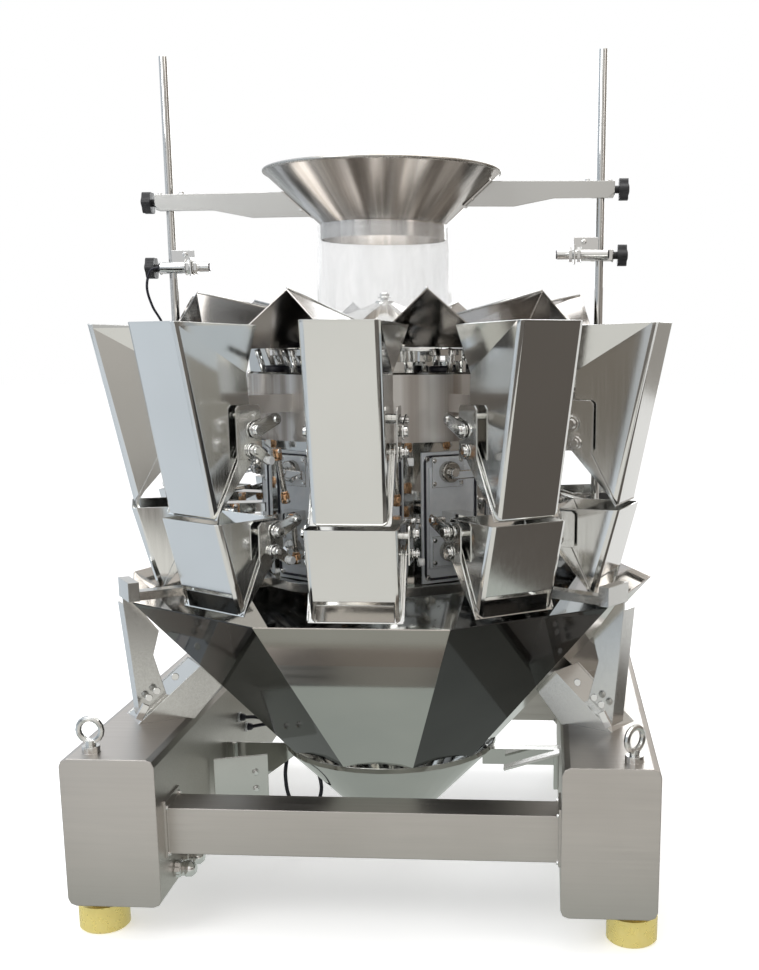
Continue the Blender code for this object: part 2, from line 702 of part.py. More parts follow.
def leg():
    """A folded channel that rises inwards from a beam, with its corner plate, upright and support arm."""
    outer_foot, inner_foot = (0.525, BEAM_TOP_Z - 0.004), (0.412, BEAM_TOP_Z - 0.004)
    inner_top, outer_top = (0.355, 0.390), (0.396, 0.432)
    web = [outer_foot, outer_top, inner_top, inner_foot]
    pieces = [slab(web, LEG_SHEET, 0.002), slab(web, LEG_SHEET, LEG_WIDTH - 0.002)]
    pieces.append(slab(strip(outer_foot, outer_top, 0.001, LEG_SHEET), LEG_WIDTH - 0.001, LEG_WIDTH / 2))
    pieces.append(slab(strip(outer_top, inner_top, 0.001, LEG_SHEET), LEG_WIDTH - 0.001, LEG_WIDTH / 2))
    slope = (Vector(outer_top) - Vector(outer_foot)).length
    foot_on_slope = along(outer_top, outer_foot, slope * 0.72)
    upright = [
        (foot_on_slope[0] - 0.030, foot_on_slope[1] + 0.020),
        (foot_on_slope[0] + 0.022, foot_on_slope[1] - 0.020),
        (UPRIGHT_RADIUS, 0.560),
        (UPRIGHT_RADIUS, 0.590),
        (0.519, 0.590),
        (0.518, 0.576),
        (0.467, 0.505),
        (0.480, 0.460),
    ]
    pieces.append(slab(upright, LEG_SHEET, 0.018))
    edge = [
        (foot_on_slope[0] + 0.022, foot_on_slope[1] - 0.018),
        (UPRIGHT_RADIUS, 0.560),
        (UPRIGHT_RADIUS - 0.004, 0.560),
        (foot_on_slope[0] + 0.018, foot_on_slope[1] - 0.016),
    ]
    pieces.append(slab(edge, 0.040, 0.037))
    return pieces


def support_arm():
    """A flat bar that runs between two heads, from an upright's top in to the ring round the body."""
    inner, outer = RING_RADIUS - 0.008, UPRIGHT_RADIUS + 0.002
    return block(((inner + outer) / 2, 0, ARM_LEVEL_Z), (outer - inner, 0.026, ARM_LEVEL_HEIGHT))


def wing():
    """The plate across an upright's top that carries the support arm."""
    return block((UPRIGHT_RADIUS - 0.005, -0.0135, 0.5947), (0.020, 0.071, 0.035))


def base_frame():
    pieces = [beam(1), beam(-1)] + cross_beam(-0.4346) + cross_beam(0.402)
    for x_sign in (1, -1):
        for y, turn in ((FRAME_FRONT_Y + 0.040, 0.0), (FRAME_REAR_Y - 0.040, 0.6)):
            pieces += lifting_eye(x_sign * 0.469, y, turn + (0.8 if x_sign == 1 else 0))
    ring_inner = HOUSING_APOTHEM / math.cos(math.pi / HEADS) + 0.0006
    ring_bottom, ring_top = ARM_LEVEL_Z - 0.0085, ARM_LEVEL_Z + 0.0085
    ring_profile = [
        (RING_RADIUS, ring_top),
        (RING_RADIUS, ring_bottom),
        (ring_inner, ring_bottom),
        (ring_inner, ring_top),
    ]
    pieces.append(turned(ring_profile, 2 * HEADS))
    for x_sign in (1, -1):
        for y_sign in (1, -1):
            corner = placed(leg() + [wing()], LEG_AZIMUTH) + placed([support_arm()], ARM_AZIMUTH)
            for piece in corner:
                piece.data.transform(Matrix.Diagonal((x_sign, y_sign, 1, 1)))
                outwards(piece)
            pieces += corner
    for i in range(3):
        y = -0.390 + 0.055 * i
        gland_x = -BEAM_INNER_X
        pieces.append(rod((gland_x - 0.004, y, 0.100), (gland_x + 0.010, y, 0.100), 0.015, 6))
        pieces.append(rod((gland_x + 0.008, y, 0.100), (gland_x + 0.028, y, 0.100), 0.0105, 12))
    return fused("base_frame", pieces, SATIN)


def foot(name, x_sign, y):
    profile = [
        (0.0, BEAM_BOTTOM_Z - GAP),
        (0.014, BEAM_BOTTOM_Z - GAP),
        (0.014, 0.050),
        (FOOT_RADIUS, 0.050),
        (FOOT_RADIUS, 0.004),
        (FOOT_RADIUS - 0.004, 0.0),
        (0.0, 0.0),
    ]
    made = fused(name, [turned(profile, 24)], BRASS)
    made.location = (x_sign * FOOT_X, y, 0)
    return made


# Cables


def cable(name, points, radius):
    """A round cable along a smooth curve through hand-set points."""
    curve = bpy.data.curves.new(name, "CURVE")
    curve.dimensions = "3D"
    curve.bevel_depth = radius
    curve.bevel_resolution = 2
    curve.use_fill_caps = True
    spline = curve.splines.new("POLY")
    route = smooth_route(points, 3 * radius * 2)
    spline.points.add(len(route) - 1)
    for point, at in zip(spline.points, route):
        point.co = (*at, 1)
    return fused(name, [baked(add(name, curve))], CABLE_BLACK)


def smooth_route(points, spacing):
    """Evenly spaced points on a Catmull-Rom curve through the given ones."""
    points = [Vector(point) for point in points]
    padded = [2 * points[0] - points[1]] + points + [2 * points[-1] - points[-2]]
    dense = []
    for before, start, end, after in zip(padded, padded[1:], padded[2:], padded[3:]):
        for i in range(24):
            t = i / 24
            dense.append(
                0.5
                * (
                    2 * start
                    + (end - before) * t
                    + (2 * before - 5 * start + 4 * end - after) * t * t
                    + (3 * start - before - 3 * end + after) * t**3
                )
            )
    dense.append(points[-1])
    total = sum((b - a).length for a, b in zip(dense, dense[1:]))
    count = max(2, round(total / spacing))
    route, walked, wanted = [dense[0]], 0.0, total / count
    for a, b in zip(dense, dense[1:]):
        step = (b - a).length
        while step and walked + step >= wanted - 1e-9 and len(route) < count:
            route.append(a + (b - a) * ((wanted - walked) / step))
            wanted += total / count
        walked += step
    return route + [dense[-1]]


SENSOR_CABLE_ROUTE = [
    (-(POST_X + 0.0144), -0.034, SENSOR_Z),
    (-0.446, -0.033, 1.166),
    (-0.457, -0.026, 1.135),
    (-0.453, -0.010, 1.100),
    (-0.440, 0.014, 1.060),
    (-0.430, 0.020, 0.980),
    (-0.424, 0.020, 0.880),
    (-0.400, 0.022, 0.852),
    (-0.340, 0.022, 0.851),
    (-0.290, 0.022, 0.848),
    (-0.2425, 0.022, 0.842),
]
BODY_CABLE_ROUTE = [
    (-BEAM_INNER_X + 0.0015, 0.100, 0.236),
    (-0.334, 0.100, 0.236),
    (-0.300, 0.098, 0.236),
    (-0.254, 0.080, 0.222),
    (-0.229, 0.040, 0.185),
    (-0.226, 0.002, 0.140),
    (-0.214, -0.018, 0.098),
    (-0.188, -0.018, 0.074),
    (-0.162, 0.004, 0.078),
    (-0.156, 0.032, 0.110),
    (-0.182, 0.066, 0.160),
    (-0.226, 0.110, 0.200),
    (-0.282, 0.150, 0.206),
    (-0.334, 0.160, 0.196),
    (-BEAM_INNER_X + 0.0015, 0.160, 0.196),
]


head_step = math.tau / HEADS
copies(feed_hopper(), "feed_hopper", HEADS, head_step)
copies(weigh_hopper(), "weigh_hopper", HEADS, head_step)
feed_gate = gate("feed_gate", FEED_PIVOT, FEED_FRONT_FOOT, FEED_BACK_FOOT, FEED_HALF_WIDTH, 0)
copies(feed_gate, "feed_gate", HEADS, head_step)
weigh_gate = gate("weigh_gate", WEIGH_PIVOT, WEIGH_FRONT_FOOT, WEIGH_BACK_FOOT, WEIGH_HALF_WIDTH, 0.030)
copies(weigh_gate, "weigh_gate", HEADS, head_step)
central_body()
feeder_pans()
dispersion_cone()
collating_chute()
collecting_funnel()
infeed_funnel()
clear_sleeve()
sensor("left_sensor", -1, SENSOR_Z)
sensor("right_sensor", 1, SENSOR_Z + SENSOR_RIGHT_LIFT)
knob_clamp_x = POST_X + 0.024 + 0.010
arm_knob_z = (ARM_END_BOTTOM_Z + ARM_TOP_Z) / 2
star_knob("left_arm_knob", -knob_clamp_x, arm_knob_z, -1)
star_knob("right_arm_knob", knob_clamp_x, arm_knob_z + ARM_RIGHT_LIFT, 1)
star_knob("left_sensor_knob", -knob_clamp_x, SENSOR_Z, -1)
star_knob("right_sensor_knob", knob_clamp_x, SENSOR_Z + SENSOR_RIGHT_LIFT, 1)
base_frame()
foot("foot_front_left", -1, FRAME_FRONT_Y + FOOT_INSET)
foot("foot_front_right", 1, FRAME_FRONT_Y + FOOT_INSET)
foot("foot_rear_left", -1, FRAME_REAR_Y - FOOT_INSET)
foot("foot_rear_right", 1, FRAME_REAR_Y - FOOT_INSET)
cable("sensor_cable", SENSOR_CABLE_ROUTE, 0.0025)
cable("body_cable", BODY_CABLE_ROUTE, 0.004)
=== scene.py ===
"""Looks of the ten-head multihead weigher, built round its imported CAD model.

The CAD nodes keep their shapes and get brushed and polished steel. Detail pieces are modelled in a head's own
axes, X outwards from the machine's axis, Y along the ring and Z up, and turned into place on all ten heads.
"""

import math

import bmesh
import bpy
from mathutils import Matrix, Vector


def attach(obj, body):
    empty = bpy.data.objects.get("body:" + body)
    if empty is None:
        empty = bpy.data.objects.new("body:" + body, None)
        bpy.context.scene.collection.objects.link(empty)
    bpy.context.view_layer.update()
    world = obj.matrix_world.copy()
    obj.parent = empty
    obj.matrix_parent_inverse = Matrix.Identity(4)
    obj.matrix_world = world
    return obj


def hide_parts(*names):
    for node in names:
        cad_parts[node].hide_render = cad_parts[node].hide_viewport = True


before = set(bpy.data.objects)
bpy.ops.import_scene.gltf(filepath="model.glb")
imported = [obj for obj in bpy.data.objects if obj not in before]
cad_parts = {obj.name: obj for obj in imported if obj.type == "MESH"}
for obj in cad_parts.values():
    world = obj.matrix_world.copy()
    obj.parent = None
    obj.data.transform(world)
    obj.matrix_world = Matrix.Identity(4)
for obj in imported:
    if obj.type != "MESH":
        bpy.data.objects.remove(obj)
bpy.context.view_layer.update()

HEADS = 10
HEAD_STEP = math.tau / HEADS

# Places that the CAD part fixes, in metres
POST_X = 0.411
FEED_PIVOT = (0.409, 0.852)
WEIGH_PIVOT = (0.3814, 0.6778)
FEED_HALF_WIDTH = 0.062
WEIGH_HALF_WIDTH = 0.076
HOUSING_APOTHEM = 0.235
SENSOR_Z = 1.172
SENSOR_RIGHT_LIFT = 0.018
ARM_RIGHT_LIFT = 0.016
BEAM_INNER_X = 0.347
BEAM_TOP_Z = 0.335
LEG_AZIMUTH = math.radians(57.6)
HALF_PANEL_DEG = 18
DRUM_BOTTOM_Z, DRUM_TOP_Z = 0.856, 0.978
DRUM_LEAST_RADIUS = 0.262
# Height on the collating chute above which its steel carries a brownish painted reflection of the frame
CHUTE_REFLECTION_EDGE_Z = 0.493
FUNNEL_RIM_RADIUS = 0.226
FLAT_SPLIT = 6.0  # degrees between two faces that are still shaded as one

# Places of the detail pieces, in metres
DRIVE_SHAFT_LEVELS = (0.800, 0.655)
PANEL_MIDDLE_Z = 0.716
SENSOR_Y = -0.034
ARM_Z = 1.293
KNOB_FACE_X = POST_X + 0.034 + 0.017
CORD_GLANDS = ((0.100, 0.236), (0.160, 0.196))
PANEL_GLAND_ROW = (-0.390, -0.335, -0.280)
PANEL_GLAND_Z = 0.100
SLEEVE_LOW_Z, SLEEVE_HIGH_Z = 1.088, 1.246
RIM_RADIUS, RIM_Z = 0.2222, 1.3430
FOOT_X = 0.474

# The camera, from a fit to the photograph
CAMERA_PLACE = (0.3152, -2.4649, 1.0267)
CAMERA_AIM = (-0.06266, 0.97583, -0.20934)
CAMERA_ROLL = math.radians(-0.15)
CAMERA_LENS_MM = 46.32
CAMERA_SENSOR_MM = 36
CAMERA_SHIFT = (-0.0896907, 0.1301031)


# Materials


def colour(red, green, blue):
    return (red, green, blue, 1.0)


def new_material(name):
    made = bpy.data.materials.new(name)
    made.use_nodes = True
    tree = made.node_tree
    return made, tree, tree.nodes["Principled BSDF"]


def noise(tree, stretch, scale, detail=4.0):
    """A noise pattern in the object's own metres, stretched along an axis."""
    place = tree.nodes.new("ShaderNodeTexCoord")
    mapping = tree.nodes.new("ShaderNodeMapping")
    mapping.inputs["Scale"].default_value = stretch
    pattern = tree.nodes.new("ShaderNodeTexNoise")
    pattern.inputs["Scale"].default_value = scale
    pattern.inputs["Detail"].default_value = detail
    tree.links.new(place.outputs["Object"], mapping.inputs["Vector"])
    tree.links.new(mapping.outputs["Vector"], pattern.inputs["Vector"])
    return pattern.outputs["Fac"]


def ranged(tree, value, low, high):
    span = tree.nodes.new("ShaderNodeMapRange")
    span.inputs["From Min"].default_value = 0.3
    span.inputs["From Max"].default_value = 0.7
    span.inputs["To Min"].default_value = low
    span.inputs["To Max"].default_value = high
    tree.links.new(value, span.inputs["Value"])
    return span.outputs["Result"]


def toned(tree, value, dark, light):
    ramp = tree.nodes.new("ShaderNodeValToRGB")
    ramp.color_ramp.elements[0].position = 0.3
    ramp.color_ramp.elements[0].color = colour(*dark)
    ramp.color_ramp.elements[1].position = 0.7
    ramp.color_ramp.elements[1].color = colour(*light)
    tree.links.new(value, ramp.inputs["Fac"])
    return ramp.outputs["Color"]


def steel(name, dark, light, roughness, grain=(1, 1, 1), bump=0.02, rounding=0.0012):
    """Steel with cloudy tone, a fine directional grain and softly rounded edges."""
    made, tree, shader = new_material(name)
    shader.inputs["Metallic"].default_value = 1.0
    clouds = noise(tree, (1, 1, 1), 3.5, 3.0)
    lines = noise(tree, grain, 260.0, 2.0)
    tree.links.new(toned(tree, clouds, dark, light), shader.inputs["Base Color"])
    tree.links.new(ranged(tree, lines, roughness * 0.8, roughness * 1.25), shader.inputs["Roughness"])
    rounded = tree.nodes.new("ShaderNodeBevel")
    rounded.samples = 4
    rounded.inputs["Radius"].default_value = rounding
    relief = tree.nodes.new("ShaderNodeBump")
    relief.inputs["Strength"].default_value = bump
    relief.inputs["Distance"].default_value = 0.0004
    tree.links.new(lines, relief.inputs["Height"])
    tree.links.new(rounded.outputs["Normal"], relief.inputs["Normal"])
    tree.links.new(relief.outputs["Normal"], shader.inputs["Normal"])
    return made


def streaked_steel(name, dark, light, roughness, metallic=1.0):
    """Steel on a cone or drum: light and dark streaks that run up and down the wall all the way round; on the
    polished drum the streaks are painted reflections.
    """
    made, tree, shader = new_material(name)
    shader.inputs["Metallic"].default_value = metallic
    place = tree.nodes.new("ShaderNodeTexCoord")
    around = tree.nodes.new("ShaderNodeTexGradient")
    around.gradient_type = "RADIAL"
    streaks = tree.nodes.new("ShaderNodeTexNoise")
    streaks.noise_dimensions = "1D"
    streaks.inputs["Scale"].default_value = 24.0
    streaks.inputs["Detail"].default_value = 6.0
    tree.links.new(place.outputs["Object"], around.inputs["Vector"])
    tree.links.new(around.outputs["Fac"], streaks.inputs["W"])
    streak = streaks.outputs["Fac"]
    tree.links.new(toned(tree, streak, dark, light), shader.inputs["Base Color"])
    tree.links.new(ranged(tree, streak, roughness * 0.8, roughness * 1.3), shader.inputs["Roughness"])
    return made


def plain(name, dark, light, roughness, metallic=0.0, bump=0.1):
    """Moulded plastic, plating or rubber: a mottled colour and a fine surface texture."""
    made, tree, shader = new_material(name)
    shader.inputs["Metallic"].default_value = metallic
    clouds = noise(tree, (1, 1, 1), 60.0, 4.0)
    tree.links.new(toned(tree, clouds, dark, light), shader.inputs["Base Color"])
    tree.links.new(ranged(tree, clouds, roughness * 0.85, roughness * 1.2), shader.inputs["Roughness"])
    relief = tree.nodes.new("ShaderNodeBump")
    relief.inputs["Strength"].default_value = bump
    relief.inputs["Distance"].default_value = 0.0003
    tree.links.new(noise(tree, (1, 1, 1), 900.0, 2.0), relief.inputs["Height"])
    tree.links.new(relief.outputs["Normal"], shader.inputs["Normal"])
    return made


def clear_film():
    """Thin clear plastic film with a faint haze in soft vertical folds."""
    made, tree, shader = new_material("clear_film")
    shader.inputs["Base Color"].default_value = colour(0.95, 0.96, 0.97)
    shader.inputs["IOR"].default_value = 1.35
    shader.inputs["Roughness"].default_value = 0.12
    haze = noise(tree, (1, 1, 0.25), 22.0, 5.0)
    tree.links.new(ranged(tree, haze, 0.06, 0.24), shader.inputs["Alpha"])
    relief = tree.nodes.new("ShaderNodeBump")
    relief.inputs["Strength"].default_value = 0.5
    relief.inputs["Distance"].default_value = 0.002
    tree.links.new(haze, relief.inputs["Height"])
    tree.links.new(relief.outputs["Normal"], shader.inputs["Normal"])
    return made


UPRIGHT_GRAIN = (1, 1, 0.02)
LEVEL_GRAIN = (0.02, 1, 1)
MIRROR = steel("mirror_steel", (0.70, 0.70, 0.69), (0.80, 0.80, 0.78), 0.055, bump=0.004)
HOPPER = steel("hopper_steel", (0.80, 0.80, 0.78), (0.86, 0.86, 0.84), 0.11, UPRIGHT_GRAIN, 0.008)
CHUTE = steel("chute_steel", (0.52, 0.53, 0.51), (0.60, 0.60, 0.57), 0.07, bump=0.006)
PANS = steel("pan_steel", (0.36, 0.34, 0.32), (0.50, 0.48, 0.46), 0.13, bump=0.01)
# Nearly black polished steel: a painted dark reflection for the chute's diagonal panels
PAINTED_DARK_REFLECTION = steel("painted_dark_reflection_steel", (0.045, 0.045, 0.045), (0.07, 0.07, 0.068), 0.06, bump=0.004)
SPUN = streaked_steel("streaked_steel", (0.42, 0.39, 0.36), (0.86, 0.84, 0.81), 0.20)
# The drum's bright and dark vertical streaks are painted reflections
DRUM_PAINTED_REFLECTION = streaked_steel("drum_painted_reflection_steel", (0.30, 0.25, 0.21), (0.97, 0.96, 0.94), 0.16, 0.6)
# Brownish steel for the chute's upper strip: a painted reflection of the frame, not a finish of its own
CHUTE_PAINTED_REFLECTION = steel("chute_painted_reflection_steel", (0.50, 0.46, 0.42), (0.57, 0.53, 0.49), 0.09, bump=0.004)
BRUSHED = steel("brushed_steel", (0.48, 0.46, 0.43), (0.62, 0.60, 0.56), 0.24, bump=0.004)
BEAMS = steel("beam_steel", (0.55, 0.52, 0.49), (0.62, 0.59, 0.56), 0.38, LEVEL_GRAIN, 0.01, 0.003)
LEGS = steel("leg_steel", (0.66, 0.66, 0.64), (0.76, 0.76, 0.74), 0.20, bump=0.003, rounding=0.0015)
CHROME = steel("chrome", (0.82, 0.82, 0.81), (0.88, 0.88, 0.87), 0.08, bump=0.0)
PANEL = plain("panel_grey", (0.76, 0.80, 0.84), (0.84, 0.87, 0.90), 0.35, 0.0, 0.02)
DARK_STEEL = steel("dark_steel", (0.16, 0.16, 0.17), (0.26, 0.25, 0.25), 0.22, bump=0.02)
YELLOW_ZINC = plain("yellow_zinc", (0.88, 0.72, 0.24), (0.90, 0.75, 0.28), 0.28, 0.5, 0.02)
COPPER = plain("copper_bush", (0.62, 0.36, 0.20), (0.78, 0.50, 0.30), 0.25, 1.0, 0.03)
KNOB = plain("knob_plastic", (0.012, 0.012, 0.014), (0.028, 0.028, 0.030), 0.42)
RUBBER = plain("cable_rubber", (0.010, 0.010, 0.018), (0.022, 0.022, 0.034), 0.38)
GREY_PLASTIC = plain("grey_plastic", (0.55, 0.56, 0.56), (0.64, 0.65, 0.65), 0.45)
FILM = clear_film()


# Pieces in mesh code


def heading(azimuth):
    """A head's own axes: X outwards at this azimuth from the front, Z up."""
    return Matrix.Rotation(azimuth - math.pi / 2, 4, "Z")


class Piece:
    """A mesh made of several solids, each with its own finish."""

    def __init__(self):
        self.shape = bmesh.new()
        self.finishes = []

    def _finish(self, faces, finish, smooth=False):
        if finish not in self.finishes:
            self.finishes.append(finish)
        for face in faces:
            face.material_index = self.finishes.index(finish)
            face.smooth = smooth

    def block(self, centre, size, finish, turn=None, bevel=0.0008):
        """A plate or block with softened edges."""
        place = Matrix.Translation(centre) @ (turn or Matrix.Identity(4)) @ Matrix.Diagonal((*size, 1))
        made = bmesh.ops.create_cube(self.shape, size=1, matrix=place)["verts"]
        faces = {face for vert in made for face in vert.link_faces}
        edges = {edge for vert in made for edge in vert.link_edges}
        limit = 0.35 * min(size)
        cut = bmesh.ops.bevel(
            self.shape, geom=list(edges), offset=min(bevel, limit), segments=2, profile=0.5, affect="EDGES"
        )
        self._finish({face for face in faces if face.is_valid} | set(cut["faces"]), finish)

    def lathe(self, start, end, rings, finish, sides=20):
        """A round solid along a line; each ring is (share of the line, radius)."""
        start, end = Vector(start), Vector(end)
        line = end - start
        turn = line.to_track_quat("Z", "Y").to_matrix()
        rows = []
        for share, radius in rings:
            row = []
            for i in range(sides):
                angle = math.tau * i / sides
                side = turn @ Vector((radius * math.cos(angle), radius * math.sin(angle), 0))
                row.append(self.shape.verts.new(start + line * share + side))
            rows.append(row)
        walls = []
        for near, far in zip(rows, rows[1:]):
            for i in range(sides):
                beside = (i + 1) % sides
                walls.append(self.shape.faces.new((near[i], near[beside], far[beside], far[i])))
        caps = [self.shape.faces.new(list(reversed(rows[0]))), self.shape.faces.new(rows[-1])]
        self._finish(walls, finish, sides > 6)
        self._finish(caps, finish)

    def rod(self, start, end, radius, finish, sides=20):
        """A bar with its two ends chamfered."""
        length = (Vector(end) - Vector(start)).length
        chamfer = min(0.12 * radius, 0.3 * length) / length
        rings = [(0, radius * 0.88), (chamfer, radius), (1 - chamfer, radius), (1, radius * 0.88)]
        self.lathe(start, end, rings, finish, sides)

    def bolt(self, at, along, size, finish):
        """A hexagon head on a washer, with a domed face."""
        at, along = Vector(at), Vector(along).normalized()
        self.rod(at, at + along * size * 0.25, size * 1.25, finish)
        head = [(0, size * 0.95), (0.8, size * 0.95), (1, size * 0.75)]
        self.lathe(at + along * size * 0.2, at + along * size * 1.0, head, finish, 6)

    def sweep(self, points, radius, finish, sides=12, closed=False):
        """A round bar that follows a path."""
        points = [Vector(point) for point in points]
        count = len(points)
        rows = []
        side = None
        for i, point in enumerate(points):
            before = points[(i - 1) % count] if closed or i else point
            after = points[(i + 1) % count] if closed or i < count - 1 else point
            along = (after - before).normalized()
            if side is None:
                side = along.orthogonal().normalized()
            side = (side - along * side.dot(along)).normalized()
            other = along.cross(side)
            row = []
            for j in range(sides):
                angle = math.tau * j / sides
                out = side * math.cos(angle) + other * math.sin(angle)
                row.append(self.shape.verts.new(point + out * radius))
            rows.append(row)
        walls = []
        for i in range(count if closed else count - 1):
            near, far = rows[i], rows[(i + 1) % count]
            for j in range(sides):
                beside = (j + 1) % sides
                walls.append(self.shape.faces.new((near[j], near[beside], far[beside], far[j])))
        if not closed:
            walls += [self.shape.faces.new(list(reversed(rows[0]))), self.shape.faces.new(rows[-1])]
        self._finish(walls, finish, True)

    def plate(self, outline, y, thickness, finish, bevel=0.0006):
        """A flat sheet with an outline of (X, Z) points, standing across Y."""
        rows = []
        for side in (-0.5, 0.5):
            rows.append([self.shape.verts.new((x, y + side * thickness, z)) for x, z in outline])
        faces = [self.shape.faces.new(rows[0]), self.shape.faces.new(list(reversed(rows[1])))]
        for i in range(len(outline)):
            beside = (i + 1) % len(outline)
            faces.append(self.shape.faces.new((rows[0][beside], rows[0][i], rows[1][i], rows[1][beside])))
        bmesh.ops.recalc_face_normals(self.shape, faces=faces)
        edges = {edge for face in faces[:2] for edge in face.edges}
        cut = bmesh.ops.bevel(
            self.shape, geom=list(edges), offset=min(bevel, 0.3 * thickness), segments=1, affect="EDGES"
        )
        self._finish({face for face in faces if face.is_valid} | set(cut["faces"]), finish)

    def done(self, name, body, slot, matrix=None):
        mesh = bpy.data.meshes.new(name)
        if matrix is not None:
            self.shape.transform(matrix)
        bmesh.ops.recalc_face_normals(self.shape, faces=self.shape.faces)
        self.shape.to_mesh(mesh)
        self.shape.free()
        for finish in self.finishes:
            mesh.materials.append(finish)
        made = bpy.data.objects.new(name, mesh)
        bpy.context.scene.collection.objects.link(made)
        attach(made, body)


def obround(start, end, start_radius, end_radius, steps=10):
    """The outline of a lever: two round ends joined by straight sides."""
    start, end = Vector(start), Vector(end)
    lean = math.atan2(end.y - start.y, end.x - start.x)
    points = []
    ends = ((start, start_radius, lean + math.pi / 2), (end, end_radius, lean - math.pi / 2))
    for centre, radius, first in ends:
        for i in range(steps + 1):
            angle = first + math.pi * i / steps
            points.append((centre.x + radius * math.cos(angle), centre.y + radius * math.sin(angle)))
    return points


# CAD nodes


def smooth_cad(node, finish, split=28.0):
    """A CAD node keeps its mesh; it gets a finish, and its round walls are shaded smooth."""
    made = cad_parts[node]
    stored = made.data.attributes.get("custom_normal")
    if stored:
        made.data.attributes.remove(stored)
    made.data.materials.clear()
    made.data.materials.append(finish)
    for face in made.data.polygons:
        face.material_index = 0
        face.use_smooth = True
    weld = made.modifiers.new("weld", "WELD")
    weld.merge_threshold = 0.00002
    edges = made.modifiers.new("edges", "EDGE_SPLIT")
    edges.split_angle = math.radians(split)


def second_finish(node, finish, chosen):
    """The faces of a CAD node that chosen(centre, normal) picks get another finish."""
    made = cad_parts[node]
    made.data.materials.append(finish)
    last = len(made.data.materials) - 1
    for face in made.data.polygons:
        if chosen(face.center, face.normal):
            face.material_index = last


def on_diagonal_panel(at, normal):
    """The panels beside the front and the rear one, which look nearly black in the photograph; their steel
    gets a painted dark reflection.
    """
    azimuth = math.degrees(math.atan2(at.x, -at.y))
    return any(abs(abs(azimuth) - centre) < HALF_PANEL_DEG for centre in (36, 144))


def on_drum(at, normal):
    radius = math.hypot(at.x, at.y)
    return DRUM_BOTTOM_Z < at.z < DRUM_TOP_Z and radius > DRUM_LEAST_RADIUS and abs(normal.z) < 0.5


def finish_cad():
    for i in range(HEADS):
        for kind in ("feed_hopper", "weigh_hopper", "feed_gate", "weigh_gate"):
            smooth_cad(f"{kind}_{i + 1:02d}", HOPPER, FLAT_SPLIT)
    for node in ("central_body", "dispersion_cone"):
        smooth_cad(node, MIRROR)
    # The drum's faces get the painted reflection streaks
    second_finish("central_body", DRUM_PAINTED_REFLECTION, on_drum)
    smooth_cad("feeder_pans", PANS, FLAT_SPLIT)
    smooth_cad("collating_chute", CHUTE, FLAT_SPLIT)
    # The chute's upper strip gets the brownish painted reflection of the frame
    second_finish("collating_chute", CHUTE_PAINTED_REFLECTION, lambda at, normal: at.z > CHUTE_REFLECTION_EDGE_Z)
    smooth_cad("collecting_funnel", CHUTE)
    # The diagonal panels get the painted dark reflection
    second_finish("collating_chute", PAINTED_DARK_REFLECTION, on_diagonal_panel)
    smooth_cad("infeed_funnel", SPUN)
    second_finish("infeed_funnel", LEGS, lambda at, normal: math.hypot(at.x, at.y) > FUNNEL_RIM_RADIUS)
    smooth_cad("base_frame", BEAMS, 20.0)
    second_finish("base_frame", LEGS, lambda at, normal: at.z > BEAM_TOP_Z + 0.004)
    for node in ("left_sensor", "right_sensor"):
        smooth_cad(node, CHROME)
    for node in ("left_arm_knob", "right_arm_knob", "left_sensor_knob", "right_sensor_knob"):
        smooth_cad(node, KNOB, 40.0)
    for end in ("front", "rear"):
        for side in ("left", "right"):
            smooth_cad(f"foot_{end}_{side}", YELLOW_ZINC)


# Cords: the routes are the CAD part's own


def smooth_route(points, spacing):
    """Evenly spaced points on a Catmull-Rom curve through the given ones."""
    points = [Vector(point) for point in points]
    padded = [2 * points[0] - points[1]] + points + [2 * points[-1] - points[-2]]
    dense = []
    for before, start, end, after in zip(padded, padded[1:], padded[2:], padded[3:]):
        for i in range(24):
            t = i / 24
            straight = 2 * start + (end - before) * t
            bend = (2 * before - 5 * start + 4 * end - after) * t * t
            twist = (3 * start - before - 3 * end + after) * t**3
            dense.append(0.5 * (straight + bend + twist))
    dense.append(points[-1])
    total = sum((b - a).length for a, b in zip(dense, dense[1:]))
    count = max(2, round(total / spacing))
    route, walked, wanted = [dense[0]], 0.0, total / count
    for a, b in zip(dense, dense[1:]):
        step = (b - a).length
        while step and walked + step >= wanted - 1e-9 and len(route) < count:
            route.append(a + (b - a) * ((wanted - walked) / step))
            wanted += total / count
        walked += step
    return route + [dense[-1]]


SENSOR_CABLE_ROUTE = [
    (-(POST_X + 0.0144), -0.034, SENSOR_Z),
    (-0.446, -0.033, 1.166),
    (-0.457, -0.026, 1.135),
    (-0.453, -0.010, 1.100),
    (-0.440, 0.014, 1.060),
    (-0.430, 0.020, 0.980),
    (-0.424, 0.020, 0.880),
    (-0.400, 0.022, 0.852),
    (-0.340, 0.022, 0.851),
    (-0.290, 0.022, 0.848),
    (-0.2425, 0.022, 0.842),
]
BODY_CABLE_ROUTE = [
    (-BEAM_INNER_X + 0.0015, 0.100, 0.236),
    (-0.334, 0.100, 0.236),
    (-0.300, 0.098, 0.236),
    (-0.254, 0.080, 0.222),
    (-0.229, 0.040, 0.185),
    (-0.226, 0.002, 0.140),
    (-0.214, -0.018, 0.098),
    (-0.188, -0.018, 0.074),
    (-0.162, 0.004, 0.078),
    (-0.156, 0.032, 0.110),
    (-0.182, 0.066, 0.160),
    (-0.226, 0.110, 0.200),
    (-0.282, 0.150, 0.206),
    (-0.334, 0.160, 0.196),
    (-BEAM_INNER_X + 0.0015, 0.160, 0.196),
]


def cord(name, node, points, radius):
    """A cable that takes a CAD cable's place along the same route, with both ends in the machine."""
    route = smooth_route(points, 0.006)
    curve = bpy.data.curves.new(name, "CURVE")
    curve.dimensions = "3D"
    curve.bevel_depth = radius
    curve.bevel_resolution = 4
    curve.use_fill_caps = True
    spline = curve.splines.new("POLY")
    spline.points.add(len(route) - 1)
    for point, at in zip(spline.points, route):
        point.co = (*at, 1)
    curve.materials.append(RUBBER)
    made = bpy.data.objects.new(name, curve)
    bpy.context.scene.collection.objects.link(made)
    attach(made, "frame")
    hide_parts(node)


